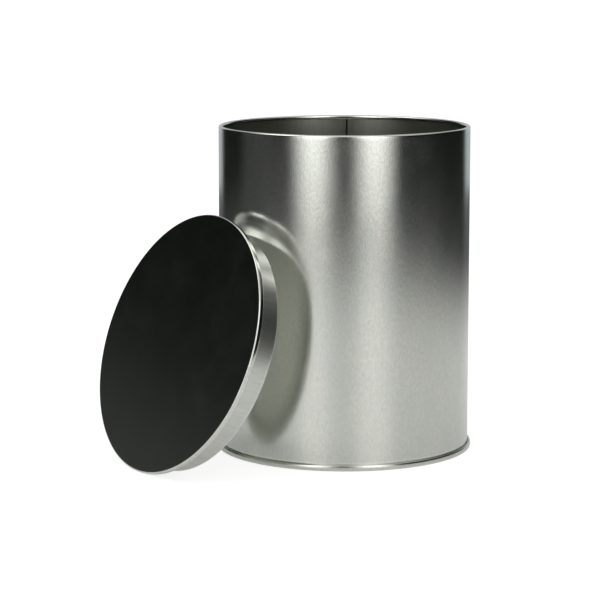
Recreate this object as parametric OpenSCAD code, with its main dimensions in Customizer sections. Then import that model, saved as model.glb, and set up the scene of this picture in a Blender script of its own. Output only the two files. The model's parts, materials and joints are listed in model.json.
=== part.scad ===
// Candle tin: a round tinplate tin with a double-seamed base and a push-in lid.
// The tin stands open, and its lid is off and leans against the side of the body.
//
// Frame: the origin is on the floor, under the middle of the tin. +Z is the tin's axis.
// -Y is the front. The side seam of the body is at the back, at +Y. Sizes are in millimetres.

/* [Body] */
// Outside diameter of the body wall
body_d = 99; // [70:1:150]
// Height of the tin, from the floor to the top of its rolled rim
body_h = 128; // [60:1:200]
// Thickness of the tinplate
sheet = 0.25; // [0.2:0.01:0.28]
// Diameter of the roll that is the rim of the mouth
rim_roll_d = 1.7; // [1.5:0.1:2.4]

/* [Side seam] */
// Width of the folded seam, which is on the inside of the wall
side_seam_w = 3; // [2:0.5:5]
// How far the folded seam stands in from the wall
side_seam_t = 0.55; // [0.4:0.05:0.8]
// Width of the fine groove that the seam leaves on the outside
groove_w = 0.35; // [0.2:0.05:0.6]
// Depth of that groove
groove_depth = 0.12; // [0.05:0.01:0.15]

/* [Foot seam] */
// Height of the double seam at the foot
foot_h = 2.5; // [2.4:0.1:3.6]
// Gap between two layers of sheet in the double seam
ply_gap = 0.12; // [0.1:0.01:0.14]

/* [Base] */
// Height of the base panel's underside over the floor
panel_z = 3.2; // [3:0.1:5]
// Radius of the raised middle of the base panel
step_r = 38; // [20:1:40]
// How far the middle of the base panel is raised
step_h = 0.6; // [0.3:0.1:1.2]

/* [Lid] */
// Diameter over the lid's folded edge
lid_d = 102; // [101:0.1:106]
// Height of the lid, from its open end to its face
lid_h = 11.5; // [8:0.5:20]
// Height of the folded edge, which lies on the rim when the tin is shut
fold_h = 2.2; // [1.8:0.1:3]
// Radial clearance of the lid's plug wall in the mouth
plug_clear = 0.3; // [0.2:0.05:0.5]
// Diameter of the small roll at the open end of the plug wall
hem_d = 0.9; // [0.8:0.1:1.2]

/* [Place of the lid] */
// Angle of the lid's face back from upright
lid_lean = 20.5; // [15:0.5:40]
// Heading of the lid's face, in degrees from +X
lid_heading = 217.5; // [0:0.5:359.5]
// How far the lid stands to one side of a square lean
lid_aside = -1.9; // [-6:0.1:6]
// Gap between the lid and the body where they meet
lid_gap = 0.3; // [0.2:0.05:0.6]

/* [Hidden] */
$fn = 96;

body_r = body_d / 2;
wall_in_r = body_r - sheet;
roll_r = rim_roll_d / 2;
mouth_r = body_r - rim_roll_d;

// Layers of the double seam, from the inside out: chuck wall of the base, body wall,
// cover hook of the base, hook of the body, seaming wall of the base.
ply = sheet + ply_gap;
chuck_r = wall_in_r - ply_gap - sheet;
cover_hook_r = body_r + ply_gap;
body_hook_r = cover_hook_r + ply;
seaming_r = body_hook_r + ply;
foot_r = seaming_r + sheet;
hook_bend_r = (ply_gap + ply + sheet) / 2 + sheet / 2;
foot_corner_r = 0.5;
body_bend_z = sheet + ply_gap + hook_bend_r;
cover_bend_z = foot_h - hook_bend_r;
body_hook_top_z = foot_h - 0.9;
cover_hook_end_z = body_bend_z + 0.05;
panel_bend_r = 0.45;

lid_r = lid_d / 2;
plug_r = mouth_r - plug_clear;
hem_r = hem_d / 2;
fold_r = fold_h / 2;
plug_bend_r = 0.35;
mouth_side_seam_gap = 0.8;

// The lid stands on the lowest point of its hem and leans on the body with the highest.
hem_ring_r = plug_r - hem_r;
lid_out = body_r + lid_gap + hem_r + hem_ring_r * sin(lid_lean);
lid_up = hem_r + hem_ring_r * cos(lid_lean);

// A rectangle in the profile plane, between two radii and two heights
module strip(r0, r1, z0, z1) {
    translate([r0, z0])
        square([r1 - r0, z1 - z0]);
}

// A bend of sheet in the profile plane: part of a ring of outside radius r, from angle a0 to a1
module bend(centre, r, a0, a1) {
    reach = 2 * r;
    steps = ceil((a1 - a0) / 60);
    fan = [for (i = [0:steps]) let (a = a0 + (a1 - a0) * i / steps) reach * [cos(a), sin(a)]];
    translate(centre)
        intersection() {
            difference() {
                circle(r = r);
                circle(r = r - sheet);
            }
            polygon(concat([[0, 0]], fan));
        }
}

// Turns a profile about the tin's axis
module turned() {
    rotate_extrude($fn = 180)
        children();
}

// Turns a profile through a short arc that is centred on the back of the tin
module turned_at_back(width, radius) {
    arc = width / radius * 180 / PI;
    rotate([0, 0, 90 - arc / 2])
        rotate_extrude(angle = arc, $fn = 180)
            children();
}

module body_profile() {
    hook_bend_at = [wall_in_r + hook_bend_r, body_bend_z];
    roll_at = [body_r - roll_r, body_h - roll_r];
    strip(wall_in_r, body_r, body_bend_z, roll_at[1]);
    bend(roll_at, roll_r, 0, 285);
    bend(hook_bend_at, hook_bend_r, 180, 360);
    strip(body_hook_r, body_hook_r + sheet, body_bend_z, body_hook_top_z);
}

// Rolled wall with its side seam, rolled rim, and hook for the double seam
module body_wall() {
    seam_z0 = panel_z + sheet + ply_gap * 2;
    seam_z1 = body_h - rim_roll_d - mouth_side_seam_gap;
    groove_top = body_h - rim_roll_d;
    color("lightsteelblue")
        difference() {
            union() {
                turned()
                    body_profile();
                turned_at_back(side_seam_w, wall_in_r)
                    strip(wall_in_r - side_seam_t, wall_in_r + sheet / 2, seam_z0, seam_z1);
            }
            rotate([0, 0, -(side_seam_w - groove_w) / 2 / body_r * 180 / PI])
                turned_at_back(groove_w, body_r)
                    strip(body_r - groove_depth, body_r + 1, foot_h + 0.5, groove_top);
        }
}

module base_profile() {
    corner = foot_corner_r;
    panel_bend_at = [chuck_r - panel_bend_r, panel_z - panel_bend_r];
    // panel, stepped up in the middle
    polygon([
        [0, panel_z + step_h],
        [step_r, panel_z + step_h],
        [step_r + 2 * step_h, panel_z],
        [panel_bend_at[0], panel_z],
        [panel_bend_at[0], panel_z + sheet],
        [step_r + 2 * step_h + sheet / 2, panel_z + sheet],
        [step_r + sheet / 2, panel_z + step_h + sheet],
        [0, panel_z + step_h + sheet],
    ]);
    bend(panel_bend_at, panel_bend_r + sheet, 0, 90);
    strip(chuck_r, chuck_r + sheet, corner, panel_bend_at[1]);
    bend([chuck_r + corner, corner], corner, 180, 270);
    strip(chuck_r + corner, foot_r - corner, 0, sheet);
    bend([foot_r - corner, corner], corner, 270, 360);
    strip(seaming_r, foot_r, corner, cover_bend_z);
    bend([foot_r - hook_bend_r, cover_bend_z], hook_bend_r, 0, 180);
    strip(cover_hook_r, cover_hook_r + sheet, cover_hook_end_z, cover_bend_z);
}

// Pressed base with its recessed panel, folded round the body's hook
module base_end() {
    color("silver")
        turned()
            base_profile();
}

// Ring of sealing compound in the fold of the double seam
module seam_compound() {
    clear = ply_gap / 2;
    color("olive")
        turned()
            strip(cover_hook_r + sheet + clear, seaming_r - clear,
                body_hook_top_z + clear, cover_bend_z + clear);
}

module lid_profile() {
    fold_at = [lid_r - fold_r, lid_h - fold_r];
    under_z = lid_h - fold_h;
    bend_r = plug_bend_r + sheet;
    strip(0, fold_at[0], lid_h - sheet, lid_h);
    bend(fold_at, fold_r, -90, 90);
    strip(plug_r - sheet + bend_r, fold_at[0], under_z, under_z + sheet);
    bend([plug_r - sheet + bend_r, under_z + sheet - bend_r], bend_r, 90, 180);
    strip(plug_r - sheet, plug_r, hem_r, under_z + sheet - bend_r);
    bend([plug_r - hem_r, hem_r], hem_r, -270, 0);
}

// Puts a lid, drawn with its open end on the floor, in its leaning place
module leaning() {
    rotate([0, 0, lid_heading])
        translate([lid_out, lid_aside, lid_up])
            rotate([0, 90 - lid_lean, 0])
                translate([0, 0, -hem_r])
                    children();
}

// Push-in lid: a flat face, an edge folded back under it, and a plug wall with a hem
module lid() {
    color("gray")
        leaning()
            turned()
                lid_profile();
}

body_wall();
base_end();
seam_compound();
lid();
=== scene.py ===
"""Candle tin: an open tinplate tin with its push-in lid leaning on its side.

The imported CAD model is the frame: it gives the bodies, the places and the overall sizes.
Each sheet-metal piece is drawn as the middle line of its sheet, bend by bend, and spun
about its axis. Everything is in metres, and heights are measured from the floor.
"""

import json
import math

import bmesh
import bpy
from mathutils import Matrix, Vector


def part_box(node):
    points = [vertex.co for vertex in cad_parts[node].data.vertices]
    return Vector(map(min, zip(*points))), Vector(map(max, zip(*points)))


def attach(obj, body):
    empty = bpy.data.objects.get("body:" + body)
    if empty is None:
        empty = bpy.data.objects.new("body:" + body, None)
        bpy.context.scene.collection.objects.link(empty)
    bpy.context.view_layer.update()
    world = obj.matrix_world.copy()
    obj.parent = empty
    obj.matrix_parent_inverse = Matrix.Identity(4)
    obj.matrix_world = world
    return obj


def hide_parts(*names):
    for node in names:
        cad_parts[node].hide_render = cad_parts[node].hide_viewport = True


bl_info = {
    "name": "Candle tin",
    "version": (1, 0, 0),
    "blender": (4, 5, 0),
    "location": "3D View > Sidebar > Candle Tin",
    "description": "Builds a tinplate candle tin, its base, its side seam and its push-in lid",
    "category": "Object",
}

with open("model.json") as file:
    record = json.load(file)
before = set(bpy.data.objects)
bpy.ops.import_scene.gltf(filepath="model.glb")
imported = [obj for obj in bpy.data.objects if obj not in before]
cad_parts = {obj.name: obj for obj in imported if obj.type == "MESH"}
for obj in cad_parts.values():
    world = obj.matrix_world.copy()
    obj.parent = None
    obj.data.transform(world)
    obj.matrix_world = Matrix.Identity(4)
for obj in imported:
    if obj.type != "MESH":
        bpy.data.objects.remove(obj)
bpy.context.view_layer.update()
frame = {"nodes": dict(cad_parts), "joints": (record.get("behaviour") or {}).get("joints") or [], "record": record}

MM = 0.001
TIN_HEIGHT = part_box("body_wall")[1].z
LID_LOW, LID_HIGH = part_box("lid")
LID_AXIS = Vector(frame["joints"][0]["axis"]).normalized()
BASE_COLOR = {m["slot"]: m["base_color"] for m in frame["record"]["materials"]}

# Segments round the axis, degrees of bend per facet, and the support loop beside each bend
ROUND_SEGMENTS = 288
BEND_STEP = 11.0
SUPPORT = 0.35 * MM
SHARP_ANGLE = math.radians(45)

# Each mesh keeps where its points are on the piece's own axis, for the materials to use
SHEET_PLACE = "sheet_place"

# How far the inner end of the body's hook stays below the top of the foot seam
HOOK_CLEARANCE = 0.9 * MM
GRAIN_SIZE = 0.5 * MM
# Middle of the painted pool of light that the metal sees on the floor
LIGHT_POOL_MIDDLE = (0, -0.1, 0)
BACKDROP_WHITE = (1.04, 1.04, 1.04)
DUST_COLOR = (0.55, 0.54, 0.5)


# ---------------------------------------------------------------- sizes and finishes


def length(name, description, default):
    """A size in metres."""
    return bpy.props.FloatProperty(
        name=name, description=description, default=default, unit="LENGTH", precision=5
    )


def color(name, description, default):
    """A colour of metal or stage."""
    return bpy.props.FloatVectorProperty(
        name=name, description=description, default=default, subtype="COLOR", size=3, min=0, max=1
    )


def share(name, description, default, top=1.0):
    """A plain number from 0 to top."""
    return bpy.props.FloatProperty(
        name=name, description=description, default=default, min=0, max=top, subtype="FACTOR"
    )


class TinSizes(bpy.types.PropertyGroup):
    """Sizes of the tin"""

    sheet: length("Sheet", "Thickness of the tinplate", 0.25 * MM)
    body_radius: length("Body radius", "Outside radius of the body wall", 49.5 * MM)
    height: length("Height", "Floor to the top of the rolled rim", TIN_HEIGHT)
    rim_roll: length("Rim roll", "Radius of the roll that is the rim", 0.85 * MM)
    seam_gap: length("Seam gap", "Gap between two layers in the foot seam", 0.12 * MM)
    foot_height: length("Foot height", "Height of the double seam at the foot", 2.5 * MM)
    panel_height: length("Panel height", "Floor to the underside of the base panel", 3.2 * MM)
    panel_step: length("Panel step", "How far the middle of the base panel is raised", 0.6 * MM)
    panel_middle: length("Panel middle", "Radius of the raised middle of the base", 38.0 * MM)
    side_seam_width: length("Side seam width", "Width of the fold inside the wall", 3.0 * MM)
    side_seam_depth: length("Side seam depth", "How far the fold stands in from the wall", 0.55 * MM)
    groove_width: length("Groove width", "Width of the line that the seam leaves outside", 0.35 * MM)
    groove_depth: length("Groove depth", "Depth of that line", 0.12 * MM)


class LidSizes(bpy.types.PropertyGroup):
    """Sizes of the lid"""

    radius: length("Radius", "Outside radius of the folded edge", 51.0 * MM)
    height: length("Height", "Open end to face", 11.5 * MM)
    fold: length("Fold", "Radius of the folded edge", 1.1 * MM)
    plug_radius: length("Plug radius", "Outside radius of the wall that goes into the tin", 47.5 * MM)
    plug_bend: length("Plug bend", "Inside radius of the bend over the plug wall", 0.35 * MM)
    hem: length("Hem", "Radius of the small roll at the open end", 0.45 * MM)


class TinFinish(bpy.types.PropertyGroup):
    """Finish of the tinplate"""

    outside: color("Outside", "Colour of the bright outside", BASE_COLOR["tinplate_body"])
    # The inside colour is about half the outside's: painted shade in the tin's hollow.
    inside: color("Inside", "Colour of the duller inside", (0.38, 0.385, 0.34))
    lid: color("Lid", "Colour of the lid", BASE_COLOR["tinplate_lid"])
    lid_inside: color("Lid inside", "Colour of the dull inside of the lid", (0.80, 0.81, 0.72))
    base: color("Base", "Colour of the base", BASE_COLOR["tinplate_base"])
    compound: color("Compound", "Colour of the sealing compound", BASE_COLOR["compound"])
    grain_depth: length("Grain depth", "Depth of the rolling grain", 0.012 * MM)
    wear: share("Wear", "How far the bends are burnished bright", 0.5)


class StudioSetup(bpy.types.PropertyGroup):
    """Stage and studio"""

    camera_place: bpy.props.FloatVectorProperty(
        name="Camera place",
        description="Where the camera stands",
        default=(0.032, -0.926, 0.2046),
        subtype="TRANSLATION",
        unit="LENGTH",
    )
    camera_down: bpy.props.FloatProperty(
        name="Camera down",
        description="How far the camera looks down",
        default=math.radians(8.98),
        subtype="ANGLE",
    )
    camera_turn: bpy.props.FloatProperty(
        name="Camera turn",
        description="Heading of the camera, left of the back of the stage",
        default=math.radians(3.06),
        subtype="ANGLE",
    )
    camera_lens: bpy.props.FloatProperty(
        name="Lens", description="Focal length in millimetres", default=141.4, min=20, max=400
    )
    floor_radius: length("Floor radius", "Radius of the round floor", 0.95)
    # This colour is only seen in reflections and bounced light, as a glowing painted pool of light; the camera
    # sees the floor white.
    floor_pool_color: color("Floor", "Colour of the floor", (0.42, 0.423, 0.41))
    light: share("Light", "Strength of the soft lights", 1.9, top=10.0)


# ------------------------------------------------------------------------ sheet metal


class SheetPath:
    """The middle line of a sheet in the profile plane, laid down as the sheet is bent.

    skins are the material numbers of its left and right sides.
    """

    def __init__(self, radius, height, heading):
        self.place = Vector((radius, height))
        self.heading = math.radians(heading)
        self.stations = []
        self.skins = (0, 1)
        self.mark()

    def mark(self):
        left = Vector((-math.sin(self.heading), math.cos(self.heading)))
        self.stations.append((self.place.copy(), left, self.skins))

    def straight(self, distance, loops=1):
        """Goes straight on, with a support loop beside each end and loops between."""
        stops = [distance * i / loops for i in range(1, loops)]
        if distance > 4 * SUPPORT:
            stops += [SUPPORT, distance - SUPPORT]
        start = self.place.copy()
        forward = Vector((math.cos(self.heading), math.sin(self.heading)))
        for stop in sorted(stops) + [distance]:
            self.place = start + forward * stop
            self.mark()
        return self

    def bend(self, radius, turn):
        """Bends on an arc of the middle line: turn is in degrees, positive to the left."""
        side = 1 if turn > 0 else -1
        centre = self.place + self.stations[-1][1] * radius * side
        steps = max(2, math.ceil(abs(turn) / BEND_STEP))
        start = self.heading
        for i in range(1, steps + 1):
            self.heading = start + math.radians(turn) * i / steps
            left = Vector((-math.sin(self.heading), math.cos(self.heading)))
            self.place = centre - left * radius * side
            self.mark()
        return self

    def outline(self, thickness):
        """The closed outline of the sheet: its left side out, and its right side back."""
        half = thickness / 2
        left = [(place + normal * half, skins[0]) for place, normal, skins in self.stations]
        right = [(place - normal * half, skins[1]) for place, normal, skins in self.stations]
        right.reverse()
        return left + right


def ring_angles(extra=()):
    """Angles round the axis in radians, even ones and the extra ones."""
    even = [2 * math.pi * i / ROUND_SEGMENTS for i in range(ROUND_SEGMENTS)]
    near = min((b - a for a, b in zip(sorted(extra), sorted(extra)[1:])), default=0) / 2
    kept = [a for a in even if all(abs(a - e) > near for e in extra)]
    return sorted(kept + list(extra))


def spin(name, outline, angles, materials, adjust=None):
    """Spins a closed outline about +Z and returns the new mesh object, a closed solid."""
    mesh = bmesh.new()
    rings = []
    for point, side in outline:
        if point.x < 1e-7:
            rings.append([mesh.verts.new((0, 0, point.y))] * len(angles))
            continue
        ring = []
        for angle in angles:
            radius = adjust(point, side, angle) if adjust else point.x
            place = (radius * math.cos(angle), radius * math.sin(angle), point.y)
            ring.append(mesh.verts.new(place))
        rings.append(ring)
    count = len(angles)
    for i, lower in enumerate(rings):
        upper = rings[(i + 1) % len(rings)]
        side = outline[i][1]
        for j in range(count):
            k = (j + 1) % count
            corners = []
            for vert in (lower[j], lower[k], upper[k], upper[j]):
                if vert not in corners:
                    corners.append(vert)
            if len(corners) > 2:
                mesh.faces.new(corners).material_index = side
    return finish_mesh(name, mesh, materials)


def finish_mesh(name, mesh, materials):
    """Turns a bmesh into a smooth-shaded object with its materials."""
    bmesh.ops.recalc_face_normals(mesh, faces=mesh.faces)
    data = bpy.data.meshes.new(name)
    mesh.to_mesh(data)
    mesh.free()
    for material in materials:
        data.materials.append(material)
    place = data.attributes.new(SHEET_PLACE, "FLOAT_VECTOR", "POINT")
    place.data.foreach_set("vector", [x for vert in data.vertices for x in vert.co])
    data.shade_smooth()
    data.set_sharp_from_angle(angle=SHARP_ANGLE)
    piece = bpy.data.objects.new(name, data)
    bpy.context.scene.collection.objects.link(piece)
    return piece


# ----------------------------------------------------------------------- shader graphs


class Graph:
    """Adds nodes to a node tree, so that a material reads from top to bottom."""

    def __init__(self, tree):
        self.tree = tree

    def node(self, kind, inputs=None, **settings):
        node = self.tree.nodes.new(kind)
        for key, value in settings.items():
            setattr(node, key, value)
        for key, value in (inputs or {}).items():
            self.set(node.inputs[key], value)
        return node

    def set(self, socket, value):
        if isinstance(value, bpy.types.NodeSocket):
            self.tree.links.new(value, socket)
        elif hasattr(value, "__len__") and len(value) == 3 and socket.type == "RGBA":
            socket.default_value = (*value, 1)
        else:
            socket.default_value = value

    def math(self, operation, a, b=0.0, c=0.0):
        node = self.node("ShaderNodeMath", operation=operation)
        for socket, value in zip(node.inputs, (a, b, c)):
            self.set(socket, value)
        return node.outputs[0]

    def total(self, first, *others):
        for other in others:
            first = self.math("ADD", first, other)
        return first

    def product(self, first, *others):
        for other in others:
            first = self.math("MULTIPLY", first, other)
        return first

    def ramp(self, value, start, end, low=0.0, high=1.0):
        """A smooth step from low at start to high at end."""
        node = self.node("ShaderNodeMapRange", interpolation_type="SMOOTHSTEP")
        for key, number in zip(("Value", "From Min", "From Max", "To Min", "To Max"),
                               (value, start, end, low, high)):
            self.set(node.inputs[key], number)
        return node.outputs["Result"]

    def mix(self, factor, a, b, blend="MIX"):
        """A mix of two colours."""
        node = self.node("ShaderNodeMix", data_type="RGBA", blend_type=blend)
        self.set(node.inputs["Factor"], factor)
        for key, value in (("A", a), ("B", b)):
            self.set([s for s in node.inputs if s.name == key and s.type == "RGBA"][0], value)
        return [s for s in node.outputs if s.type == "RGBA"][0]


def effect_group(name, inputs, outputs):
    """A new shader node group: its graph, its input node and its output node."""
    tree = bpy.data.node_groups.new(name, "ShaderNodeTree")
    for key, kind, default in inputs:
        socket = tree.interface.new_socket(key, in_out="INPUT", socket_type=kind)
        if default is not None:
            socket.default_value = default
    for key, kind in outputs:
        tree.interface.new_socket(key, in_out="OUTPUT", socket_type=kind)
    graph = Graph(tree)
    return graph, graph.node("NodeGroupInput"), graph.node("NodeGroupOutput")


def rolling_grain_group():
    """The fine grain that rolling leaves in tinplate: dashes that run along the piece's axis."""
    graph, given, out = effect_group(
        "Rolling grain",
        [
            ("Place", "NodeSocketVector", None),
            ("Grain Size", "NodeSocketFloat", GRAIN_SIZE),
            ("Dash Length", "NodeSocketFloat", 5.0),
        ],
        [("Grain", "NodeSocketFloat"), ("Mottle", "NodeSocketFloat")],
    )
    place = given.outputs["Place"]
    split = graph.node("ShaderNodeSeparateXYZ", {"Vector": place})
    along = graph.math("DIVIDE", split.outputs["Z"], given.outputs["Dash Length"])
    stretched = graph.node(
        "ShaderNodeCombineXYZ", {"X": split.outputs["X"], "Y": split.outputs["Y"], "Z": along}
    )
    density = graph.math("DIVIDE", 1.0, given.outputs["Grain Size"])
    fine = graph.node(
        "ShaderNodeTexNoise",
        {"Vector": stretched.outputs[0], "Scale": density, "Detail": 2.0, "Roughness": 0.55},
    )
    slow = graph.node(
        "ShaderNodeTexNoise",
        {"Vector": stretched.outputs[0], "Scale": 110.0, "Detail": 3.0, "Roughness": 0.6},
    )
    graph.set(out.inputs["Grain"], fine.outputs["Fac"])
    graph.set(out.inputs["Mottle"], slow.outputs["Fac"])
    return graph.tree


def burnished_band_group():
    """Where a bend is rubbed bright: a mask between two heights along the piece's axis."""
    graph, given, out = effect_group(
        "Burnished band",
        [
            ("Place", "NodeSocketVector", None),
            ("From Height", "NodeSocketFloat", 0.0),
            ("To Height", "NodeSocketFloat", 0.001),
            ("Softness", "NodeSocketFloat", 0.4 * MM),
        ],
        [("Mask", "NodeSocketFloat")],
    )
    place = given.outputs["Place"]
    height = graph.node("ShaderNodeSeparateXYZ", {"Vector": place}).outputs["Z"]
    below = graph.math("SUBTRACT", given.outputs["From Height"], given.outputs["Softness"])
    above = graph.math("ADD", given.outputs["To Height"], given.outputs["Softness"])
    rise = graph.ramp(height, below, given.outputs["From Height"])
    fall = graph.ramp(height, given.outputs["To Height"], above, 1.0, 0.0)
    rubbed = graph.node(
        "ShaderNodeTexNoise", {"Vector": place, "Scale": 900.0, "Detail": 4.0, "Roughness": 0.6}
    )
    uneven = graph.ramp(rubbed.outputs["Fac"], 0.3, 0.6)
    graph.set(out.inputs["Mask"], graph.product(rise, fall, uneven))
    return graph.tree


def handling_marks_group():
    """Faint smudges and a few specks of dust from handling."""
    graph, given, out = effect_group(
        "Handling marks",
        [
            ("Place", "NodeSocketVector", None),
            ("Smudge Size", "NodeSocketFloat", 25.0 * MM),
            ("Dust", "NodeSocketFloat", 0.3),
        ],
        [("Smudge", "NodeSocketFloat"), ("Specks", "NodeSocketFloat")],
    )
    place = given.outputs["Place"]
    density = graph.math("DIVIDE", 1.0, given.outputs["Smudge Size"])
    cloud = graph.node(
        "ShaderNodeTexNoise",
        {"Vector": place, "Scale": density, "Detail": 4.0, "Roughness": 0.6, "Distortion": 0.6},
    )
    graph.set(out.inputs["Smudge"], graph.ramp(cloud.outputs["Fac"], 0.45, 0.75))
    cells = graph.node("ShaderNodeTexVoronoi", {"Vector": place, "Scale": 160.0, "Randomness": 1.0})
    speck = graph.ramp(cells.outputs["Distance"], 0.03, 0.05, 1.0, 0.0)
    chance = graph.node("ShaderNodeSeparateColor", {"Color": cells.outputs["Color"]}).outputs[0]
    rare = graph.ramp(chance, 0.93, 0.95)
    graph.set(out.inputs["Specks"], graph.product(speck, rare, given.outputs["Dust"]))
    return graph.tree


def effect(name, build):
    """The named effect group, built once."""
    return bpy.data.node_groups.get(name) or build()


def tinplate(name, tint, grain_depth, roughness, bands, wear, dust, metal=1.0, dash=3.0):
    """Tinplate with its rolling grain.

    bands are the heights between which it is burnished, metal is how metallic it is, and
    dash is how many times longer than wide its grain is.
    """
    material = bpy.data.materials.new(name)
    material.use_nodes = True
    graph = Graph(material.node_tree)
    surface = material.node_tree.nodes["Principled BSDF"]
    place = graph.node("ShaderNodeAttribute", attribute_name=SHEET_PLACE).outputs["Vector"]
    grain = graph.node("ShaderNodeGroup", node_tree=effect("Rolling grain", rolling_grain_group))
    graph.set(grain.inputs["Place"], place)
    graph.set(grain.inputs["Grain Size"], GRAIN_SIZE)
    graph.set(grain.inputs["Dash Length"], dash)
    marks = graph.node("ShaderNodeGroup", node_tree=effect("Handling marks", handling_marks_group))
    graph.set(marks.inputs["Place"], place)
    graph.set(marks.inputs["Dust"], dust)
    burnish = 0.0
    for low, high in bands:
        band = graph.node(
            "ShaderNodeGroup", node_tree=effect("Burnished band", burnished_band_group)
        )
        graph.set(band.inputs["Place"], place)
        graph.set(band.inputs["From Height"], low)
        graph.set(band.inputs["To Height"], high)
        burnish = graph.math("MAXIMUM", burnish, band.outputs["Mask"])
    worn = graph.math("MULTIPLY", burnish, wear)
    cool = [channel * tone for channel, tone in zip(tint, (0.93, 0.96, 0.97))]
    bright = [1 - (1 - channel) * 0.55 for channel in tint]
    sheet_color = graph.mix(graph.ramp(grain.outputs["Mottle"], 0.3, 0.7), cool, tint)
    dark_grain = graph.ramp(grain.outputs["Grain"], 0.62, 0.38, 0.0, 0.5)
    sheet_color = graph.mix(dark_grain, sheet_color, [channel * 0.82 for channel in tint])
    sheet_color = graph.mix(worn, sheet_color, bright)
    sheet_color = graph.mix(marks.outputs["Specks"], sheet_color, DUST_COLOR)
    graph.set(surface.inputs["Base Color"], sheet_color)
    rough = graph.math("MULTIPLY_ADD", grain.outputs["Mottle"], 0.06, roughness - 0.03)
    rough = graph.math("MULTIPLY_ADD", marks.outputs["Smudge"], 0.035, rough)
    rough = graph.math("MULTIPLY_ADD", worn, -0.04, rough)
    graph.set(surface.inputs["Roughness"], rough)
    clean = graph.math("SUBTRACT", 1.0, marks.outputs["Specks"])
    graph.set(surface.inputs["Metallic"], graph.product(clean, metal))
    bump = graph.node("ShaderNodeBump", {"Strength": 1.0, "Distance": grain_depth})
    graph.set(bump.inputs["Height"], grain.outputs["Grain"])
    graph.set(surface.inputs["Normal"], bump.outputs["Normal"])
    return material


def sealing_compound(tint):
    """Dull rubbery sealing compound."""
    material = bpy.data.materials.new("sealing_compound")
    material.use_nodes = True
    graph = Graph(material.node_tree)
    surface = material.node_tree.nodes["Principled BSDF"]
    place = graph.node("ShaderNodeTexCoord").outputs["Object"]
    lumps = graph.node("ShaderNodeTexNoise", {"Vector": place, "Scale": 1800.0, "Detail": 4.0})
    deep = [channel * 0.75 for channel in tint]
    graph.set(surface.inputs["Base Color"], graph.mix(lumps.outputs["Fac"], deep, tint))
    graph.set(surface.inputs["Roughness"], graph.ramp(lumps.outputs["Fac"], 0.2, 0.8, 0.6, 0.8))
    bump = graph.node("ShaderNodeBump", {"Strength": 0.6, "Distance": 0.03 * MM})
    graph.set(bump.inputs["Height"], lumps.outputs["Fac"])
    graph.set(surface.inputs["Normal"], bump.outputs["Normal"])
    return material


# --------------------------------------------------------------------------- the stage


def studio_world(light):
    """White backdrop for the camera and diffuse light, and a dark studio for the metal to mirror."""
    world = bpy.data.worlds.new("studio")
    bpy.context.scene.world = world
    world.use_nodes = True
    graph = Graph(world.node_tree)
    backdrop = world.node_tree.nodes["Background"]
    ray = graph.node("ShaderNodeTexCoord").outputs["Generated"]
    split = graph.node("ShaderNodeSeparateXYZ", {"Vector": ray})
    front = graph.math("MULTIPLY", split.outputs["Y"], -1.0)
    heading = graph.math("DEGREES", graph.math("ARCTAN2", split.outputs["X"], front))
    height = graph.math("DEGREES", graph.math("ARCSINE", split.outputs["Z"]))
    away = graph.math("ABSOLUTE", heading)

    left_box = graph.product(graph.ramp(heading, -52, -27), graph.ramp(heading, -1, -24))
    right_box = graph.product(graph.ramp(heading, 4, 28), graph.ramp(heading, 56, 31))
    box_height = graph.product(graph.ramp(height, -9.5, -3.5), graph.ramp(height, 70, 45))
    boxes = graph.product(graph.total(left_box, right_box), box_height, light)
    between = graph.product(graph.ramp(away, 60, 20), 0.02)
    side_glow = graph.product(graph.ramp(heading, -110, -95), graph.ramp(heading, -50, -75), 0.045)
    horizon = graph.product(graph.ramp(heading, -135, -120), graph.ramp(heading, -92, -105))
    horizon = graph.product(
        horizon, graph.ramp(height, 12.5, 8.0), graph.ramp(height, 3, 7), 0.045
    )
    left_high = graph.product(graph.ramp(heading, -130, -105), graph.ramp(heading, -50, -75))
    left_high = graph.product(
        left_high, graph.ramp(height, 36, 48), graph.ramp(height, 76, 62), 1.5
    )
    overhead = graph.product(graph.ramp(height, 25, 60), 0.65)
    behind = graph.product(graph.ramp(away, 140, 152), graph.ramp(height, 60, 30), 0.52)

    room = (0.0062, 0.0084, 0.0064)
    warm = (1.0, 0.995, 0.955)
    cool = (0.90, 0.97, 1.0)
    # The lights are brighter than 1, so they are added and not mixed.
    strength = graph.total(boxes, between, overhead, side_glow, horizon, left_high)
    lit = graph.node("ShaderNodeVectorMath", operation="SCALE")
    lit.inputs[0].default_value = warm
    graph.set(lit.inputs["Scale"], strength)
    rear = graph.node("ShaderNodeVectorMath", operation="SCALE")
    rear.inputs[0].default_value = cool
    graph.set(rear.inputs["Scale"], behind)
    studio = graph.node("ShaderNodeVectorMath", operation="ADD")
    graph.set(studio.inputs[0], lit.outputs[0])
    graph.set(studio.inputs[1], rear.outputs[0])
    studio_room = graph.node("ShaderNodeVectorMath", operation="ADD")
    graph.set(studio_room.inputs[0], studio.outputs[0])
    studio_room.inputs[1].default_value = room
    path = graph.node("ShaderNodeLightPath")
    plain = graph.math("MAXIMUM", path.outputs["Is Camera Ray"], path.outputs["Is Diffuse Ray"])
    shown = graph.mix(plain, studio_room.outputs[0], BACKDROP_WHITE)
    graph.set(backdrop.inputs["Color"], shown)
    backdrop.inputs["Strength"].default_value = 1.0


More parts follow.
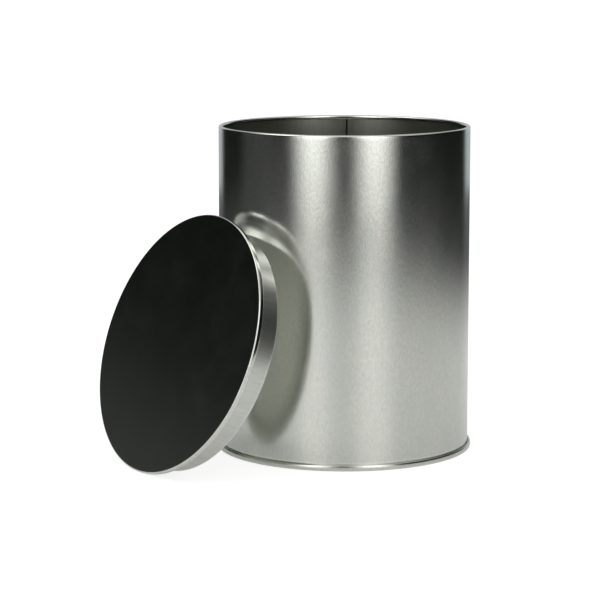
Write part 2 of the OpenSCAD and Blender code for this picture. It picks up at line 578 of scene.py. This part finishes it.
def floor_material(tint):
    """Pale floor: bright to the camera, and where metal mirrors it, a glowing painted pool of light round the tin
    that fades into the dark studio.
    """
    material = bpy.data.materials.new("pale_floor")
    material.use_nodes = True
    graph = Graph(material.node_tree)
    nodes = material.node_tree.nodes
    nodes.remove(nodes["Principled BSDF"])
    place = graph.node("ShaderNodeTexCoord").outputs["Object"]
    pool = graph.node("ShaderNodeVectorMath", {0: place}, operation="SUBTRACT")
    pool.inputs[1].default_value = LIGHT_POOL_MIDDLE
    away = graph.node("ShaderNodeVectorMath", {0: pool.outputs[0]}, operation="LENGTH")
    # Painted pool of light: the mirrored floor has the floor colour near the tin, fades to near black further out,
    # and glows with that colour.
    light_pool_fade = graph.ramp(away.outputs["Value"], 0.70, 0.28)
    glowing_pool_color = graph.mix(light_pool_fade, (0.01, 0.011, 0.01), tint)
    mirrored = graph.node("ShaderNodeBsdfPrincipled", {"Base Color": glowing_pool_color})
    mirrored.inputs["Roughness"].default_value = 0.45
    mirrored.inputs["Specular IOR Level"].default_value = 0.4
    graph.set(mirrored.inputs["Emission Color"], glowing_pool_color)
    mirrored.inputs["Emission Strength"].default_value = 0.65
    seen = graph.node("ShaderNodeBsdfDiffuse", {"Color": (0.28, 0.28, 0.28)})
    white = graph.node("ShaderNodeEmission", {"Color": (1, 1, 1), "Strength": 0.82})
    seen_floor = graph.node("ShaderNodeAddShader")
    graph.set(seen_floor.inputs[0], seen.outputs[0])
    graph.set(seen_floor.inputs[1], white.outputs[0])
    path = graph.node("ShaderNodeLightPath")
    choice = graph.node("ShaderNodeMixShader")
    graph.set(choice.inputs["Fac"], path.outputs["Is Camera Ray"])
    graph.set(choice.inputs[1], mirrored.outputs[0])
    graph.set(choice.inputs[2], seen_floor.outputs[0])
    graph.set(nodes["Material Output"].inputs["Surface"], choice.outputs[0])
    return material


class CANDLETIN_OT_stage(bpy.types.Operator):
    """Sets up the camera, the round floor and the soft studio light"""

    bl_idname = "candletin.stage"
    bl_label = "Stage"

    def execute(self, context):
        studio = context.scene.tin_studio
        context.scene.view_settings.view_transform = "Standard"
        lens = bpy.data.cameras.new("camera")
        lens.lens = studio.camera_lens
        lens.clip_end = 20
        camera = bpy.data.objects.new("camera", lens)
        context.scene.collection.objects.link(camera)
        camera.location = studio.camera_place
        camera.rotation_euler = (math.pi / 2 - studio.camera_down, 0, studio.camera_turn)
        context.scene.camera = camera

        studio_world(studio.light)
        mesh = bmesh.new()
        bmesh.ops.create_circle(mesh, cap_ends=True, segments=128, radius=studio.floor_radius)
        floor = finish_mesh("floor", mesh, [floor_material(studio.floor_pool_color)])
        return {"FINISHED"}


# ---------------------------------------------------------------------------- the tin


def foot_radii(tin):
    """Middle radii of the layers of the foot seam, from the inside out."""
    ply = tin.sheet + tin.seam_gap
    wall = tin.body_radius - tin.sheet / 2
    return {
        "chuck": wall - ply,
        "wall": wall,
        "cover_hook": wall + ply,
        "body_hook": wall + 2 * ply,
        "seaming": wall + 3 * ply,
        "bend": ply,
    }


def body_path(tin):
    """Body hook of the foot seam, wall, and rolled rim."""
    foot = foot_radii(tin)
    hook_bend_z = tin.sheet + tin.seam_gap + foot["bend"] + tin.sheet / 2
    roll = tin.rim_roll - tin.sheet / 2
    path = SheetPath(foot["body_hook"], tin.foot_height - HOOK_CLEARANCE, -90)
    path.straight(path.place.y - hook_bend_z)
    path.bend(foot["bend"], -180)
    path.straight(tin.height - tin.rim_roll - hook_bend_z, loops=16)
    return path.bend(roll, 285)


def base_path(tin):
    """Stepped panel, chuck wall, flat underside, seaming wall and cover hook."""
    foot = foot_radii(tin)
    half = tin.sheet / 2
    soft = 0.5 * MM
    slope = 26.57
    panel_corner = 0.575 * MM
    foot_corner = 0.375 * MM
    ease = soft * math.tan(math.radians(slope / 2))
    sheet_top = tin.panel_height + half
    path = SheetPath(0, sheet_top + tin.panel_step, 0)
    path.straight(tin.panel_middle + half / 2 - ease, loops=6)
    path.bend(soft, -slope)
    path.straight(tin.panel_step / math.sin(math.radians(slope)) - 2 * ease)
    path.bend(soft, slope)
    path.straight(foot["chuck"] - panel_corner - path.place.x, loops=2)
    path.bend(panel_corner, -90)
    path.straight(path.place.y - 0.5 * MM)
    path.bend(foot_corner, 90)
    path.straight(foot["seaming"] - foot_corner - path.place.x)
    barrel = 18
    path.bend(foot_corner, 90 - barrel)
    face = tin.foot_height - foot["bend"] - half - path.place.y
    path.bend(face / 2 / math.sin(math.radians(barrel)), 2 * barrel)
    path.bend(foot["bend"], 180 - barrel)
    hook_end = tin.sheet + tin.seam_gap + foot["bend"] + half + 0.05 * MM
    return path.straight(path.place.y - hook_end)


def side_seam_mesh(tin, materials):
    """The folded side seam: a strip with eased edges, inside the back of the wall.

    The first material is for the strip, and the second for the fold line cut along it: its colour is darkened as
    painted shade in the groove.
    """
    inner = tin.body_radius - tin.sheet - tin.side_seam_depth
    outer = tin.body_radius - tin.sheet * 0.6
    half = tin.side_seam_width / 2
    low = tin.panel_height + tin.sheet + 2 * tin.seam_gap
    high = tin.height - 2 * tin.rim_roll - 0.1 * MM
    ease = 0.18 * MM
    section = [(-half, outer), (-half, inner + ease)]
    section += corner(-half + ease, inner + ease, ease, 180, 270)
    support = 0.05 * MM
    line_middle = -0.75 * MM
    line_half = 0.42 * MM
    section += [(-half + ease + support, inner), (line_middle - line_half, inner)]
    # The groove's two faces take the second material, which is painted shade.
    shaded_crease = len(section) - 1
    section += [(line_middle, inner + 0.42 * MM), (line_middle + line_half, inner)]
    section += [(line_middle + line_half + support, inner), (half - ease - support, inner)]
    section += corner(half - ease, inner + ease, ease, 270, 360)
    section += [(half, outer)]
    mesh = bmesh.new()
    rows = []
    bevel = 0.1 * MM
    held = 0.3 * MM
    for height in (low, low + bevel, low + held, high - held, high - bevel, high):
        inset = 0.08 * MM if height in (low, high) else 0
        row = []
        for across, radius in section:
            radius += inset if radius < outer - inset else 0
            angle = math.pi / 2 - across / tin.body_radius
            row.append(mesh.verts.new((radius * math.cos(angle), radius * math.sin(angle), height)))
        rows.append(row)
    count = len(section)
    for lower, upper in zip(rows, rows[1:]):
        for i in range(count):
            j = (i + 1) % count
            face = mesh.faces.new((lower[i], lower[j], upper[j], upper[i]))
            face.material_index = 1 if i in (shaded_crease, shaded_crease + 1) else 0
    mesh.faces.new(rows[0])
    mesh.faces.new(rows[-1])
    return finish_mesh("side_seam_fold", mesh, materials)


def corner(x, y, radius, start, end, steps=4):
    """Points of a rounded corner."""
    points = []
    for i in range(1, steps + 1):
        angle = math.radians(start + (end - start) * i / steps)
        points.append((x + radius * math.cos(angle), y + radius * math.sin(angle)))
    return points


def body_materials(tin, look):
    """Bright outside and duller inside of the body, burnished at the rim and the foot. The inside's darker colour
    is painted shade in the hollow.
    """
    rim = (tin.height - 2 * tin.rim_roll, tin.height)
    foot = (tin.foot_height - 0.2 * MM, tin.foot_height + 0.6 * MM)
    inside = tinplate("tinplate_inside_painted_shade", look.inside, look.grain_depth, 0.32, [rim], look.wear, 0.2,
                      dash=20.0)
    outside = tinplate(
        "tinplate_outside", look.outside, look.grain_depth, 0.17, [rim, foot], look.wear, 0.2
    )
    return inside, outside


class CANDLETIN_OT_body(bpy.types.Operator):
    """Builds the rolled body wall with its rim, and the side seam inside it"""

    bl_idname = "candletin.body"
    bl_label = "Body and side seam"

    def execute(self, context):
        tin = context.scene.tin_sizes
        look = context.scene.tin_finish
        inside, outside = body_materials(tin, look)
        line = math.pi / 2 - (tin.side_seam_width - tin.groove_width) / 2 / tin.body_radius
        half = tin.groove_width / 2 / tin.body_radius
        groove = [line + half * step for step in (-1.4, -1, -0.5, 0, 0.5, 1, 1.4)]
        groove_low = tin.foot_height + 0.5 * MM
        groove_high = tin.height - 2 * tin.rim_roll

        def grooved(point, side, angle):
            """Radius of a point, pressed in where the seam's line runs on the outside."""
            on_wall = side == 1 and groove_low < point.y < groove_high
            if not on_wall or abs(angle - line) > half * 0.9:
                return point.x
            return point.x - tin.groove_depth

        wall = spin(
            "body_sheet",
            body_path(tin).outline(tin.sheet),
            ring_angles(groove),
            [inside, outside],
            grooved,
        )
        # The fold line's colour is the inside colour darkened to a quarter: painted shade in the groove, not a
        # colour of the sheet.
        crease_painted_shade = [channel * 0.25 for channel in look.inside]
        shaded_crease = tinplate("tinplate_fold_line_painted_shade", crease_painted_shade, look.grain_depth, 0.5, [], 0, 0.2)
        seam = side_seam_mesh(tin, [inside, shaded_crease])
        for piece in (wall, seam):
            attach(piece, "tin")
            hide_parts("body_wall")
        return {"FINISHED"}


class CANDLETIN_OT_base(bpy.types.Operator):
    """Builds the pressed base, and finishes the sealing compound in its seam"""

    bl_idname = "candletin.base"
    bl_label = "Base and compound"

    def execute(self, context):
        tin = context.scene.tin_sizes
        look = context.scene.tin_finish
        foot = (0.0, 0.5 * MM)
        inside = tinplate("tinplate_base_inside", look.base, look.grain_depth, 0.3, [], 0, 0.3)
        outside = tinplate(
            "tinplate_base", look.base, look.grain_depth, 0.2, [foot], look.wear, 0.3
        )
        base = spin(
            "base_sheet", base_path(tin).outline(tin.sheet), ring_angles(), [inside, outside]
        )
        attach(base, "tin")
        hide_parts("base_end")
        compound = frame["nodes"]["seam_compound"]
        finish = sealing_compound(look.compound)
        for slot in compound.material_slots:
            slot.material = finish
        return {"FINISHED"}


# ---------------------------------------------------------------------------- the lid


def lid_path(lid, sheet):
    """Face, folded edge, ledge, plug wall and hem, with the open end at height 0."""
    half = sheet / 2
    path = SheetPath(0, lid.height - half, 0)
    tight = 0.6 * MM - half
    path.straight(lid.radius - half - tight, loops=8)
    path.bend(tight, -90)
    path.straight(2 * (lid.fold - half - tight))
    path.bend(tight, -90)
    path.skins = (2, 1)
    path.straight(path.place.x - (lid.plug_radius - sheet + lid.plug_bend + sheet))
    path.bend(lid.plug_bend + half, 90)
    path.straight(path.place.y - lid.hem, loops=2)
    return path.bend(lid.hem - half, -270)


def lid_place(lid):
    """Where the leaning lid stands: its axis from the joint, its middle from the CAD node's box."""
    reach = [(lid.radius - lid.fold) * math.sqrt(1 - n * n) + lid.fold for n in LID_AXIS]
    fold_middle = Vector((LID_LOW.x + reach[0], LID_LOW.y + reach[1], LID_HIGH.z - reach[2]))
    open_end = fold_middle - LID_AXIS * (lid.height - lid.fold)
    turn = Vector((0, 0, 1)).rotation_difference(LID_AXIS)
    return Matrix.LocRotScale(open_end, turn, None)


class CANDLETIN_OT_lid(bpy.types.Operator):
    """Builds the push-in lid in its leaning place"""

    bl_idname = "candletin.lid"
    bl_label = "Lid"

    def execute(self, context):
        lid = context.scene.tin_lid
        sheet = context.scene.tin_sizes.sheet
        look = context.scene.tin_finish
        edge = (lid.height - 2 * lid.fold, lid.height - 0.3 * MM)
        hem = (0.0, 2 * lid.hem)
        outside = tinplate(
            "tinplate_lid", look.lid, look.grain_depth * 0.4, 0.13, [edge], look.wear, 0.5
        )
        inside = tinplate(
            "tinplate_lid_inside", look.lid_inside, look.grain_depth, 0.5, [], 0, 0.3, metal=0.3
        )
        plug = tinplate(
            "tinplate_lid_plug", look.lid, look.grain_depth, 0.3, [hem], look.wear, 0.3, dash=20.0
        )
        skins = [outside, inside, plug]
        piece = spin("lid_sheet", lid_path(lid, sheet).outline(sheet), ring_angles(), skins)
        piece.data.transform(lid_place(lid))
        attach(piece, "lid")
        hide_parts("lid")
        return {"FINISHED"}


class CANDLETIN_PT_panel(bpy.types.Panel):
    """Lists the pieces of the candle tin"""

    bl_idname = "CANDLETIN_PT_panel"
    bl_label = "Candle Tin"
    bl_space_type = "VIEW_3D"
    bl_region_type = "UI"
    bl_category = "Candle Tin"

    def draw(self, context):
        scene = context.scene
        for operator in OPERATORS:
            self.layout.operator(operator.bl_idname)
        for group in (scene.tin_sizes, scene.tin_lid, scene.tin_finish, scene.tin_studio):
            box = self.layout.box()
            for key in group.bl_rna.properties.keys():
                if key not in ("rna_type", "name"):
                    box.prop(group, key)


GROUPS = {
    "tin_sizes": TinSizes,
    "tin_lid": LidSizes,
    "tin_finish": TinFinish,
    "tin_studio": StudioSetup,
}
OPERATORS = (CANDLETIN_OT_stage, CANDLETIN_OT_body, CANDLETIN_OT_base, CANDLETIN_OT_lid)
CLASSES = (*GROUPS.values(), *OPERATORS, CANDLETIN_PT_panel)


def register():
    for cls in CLASSES:
        bpy.utils.register_class(cls)
    for key, group in GROUPS.items():
        setattr(bpy.types.Scene, key, bpy.props.PointerProperty(type=group))


def unregister():
    for key in GROUPS:
        delattr(bpy.types.Scene, key)
    for cls in reversed(CLASSES):
        bpy.utils.unregister_class(cls)


def main():
    """Builds the stage and every piece."""
    register()
    bpy.ops.candletin.stage()
    bpy.ops.candletin.body()
    bpy.ops.candletin.base()
    bpy.ops.candletin.lid()
    bpy.context.view_layer.update()


if __name__ == "__main__":
    main()
